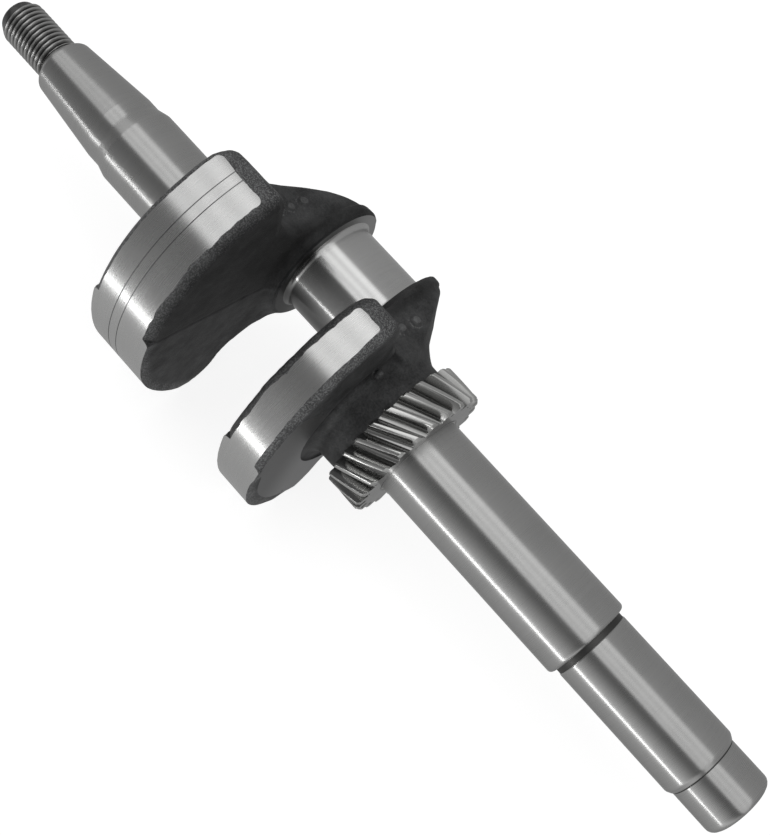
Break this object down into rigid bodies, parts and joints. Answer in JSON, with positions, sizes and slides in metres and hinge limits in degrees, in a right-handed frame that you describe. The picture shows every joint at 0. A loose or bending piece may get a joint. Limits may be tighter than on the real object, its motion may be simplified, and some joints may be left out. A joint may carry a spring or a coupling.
{
  "type": "crankshaft",
  "caption": "Forged single-throw crankshaft with two counterweights, a tapered threaded flywheel end, a pressed-on helical timing gear and a long stepped output shaft.",
  "frame": {"origin": "on the main axis, in the plane through the middle of the crankpin", "axes": "+X along the main axis towards the output end, +Y from the main axis towards the crankpin, +Z square to both"},
  "size_m": [0.2917, 0.0845, 0.0786],
  "materials": {
    "machined_steel": "finely ground and turned, satin, bare",
    "forged_steel": "dark as-forged scale, fine grain",
    "gear_steel": "hobbed teeth, satin, bare"
  },
  "bodies": {
    "root": {"flywheel_thread": "machined_steel", "flywheel_taper": "machined_steel", "flywheel_journal": "machined_steel", "flywheel_side_web": "forged_steel", "flywheel_side_counterweight": "forged_steel", "flywheel_side_thrust_face": "machined_steel", "crankpin": "machined_steel", "output_side_thrust_face": "machined_steel", "output_side_web": "forged_steel", "output_side_counterweight": "forged_steel", "gear_boss": "forged_steel", "gear_seat": "machined_steel", "timing_gear": "gear_steel", "timing_gear_key": "gear_steel", "output_journal": "machined_steel", "output_seat": "machined_steel", "output_spigot": "machined_steel"}
  },
  "joints": []
}
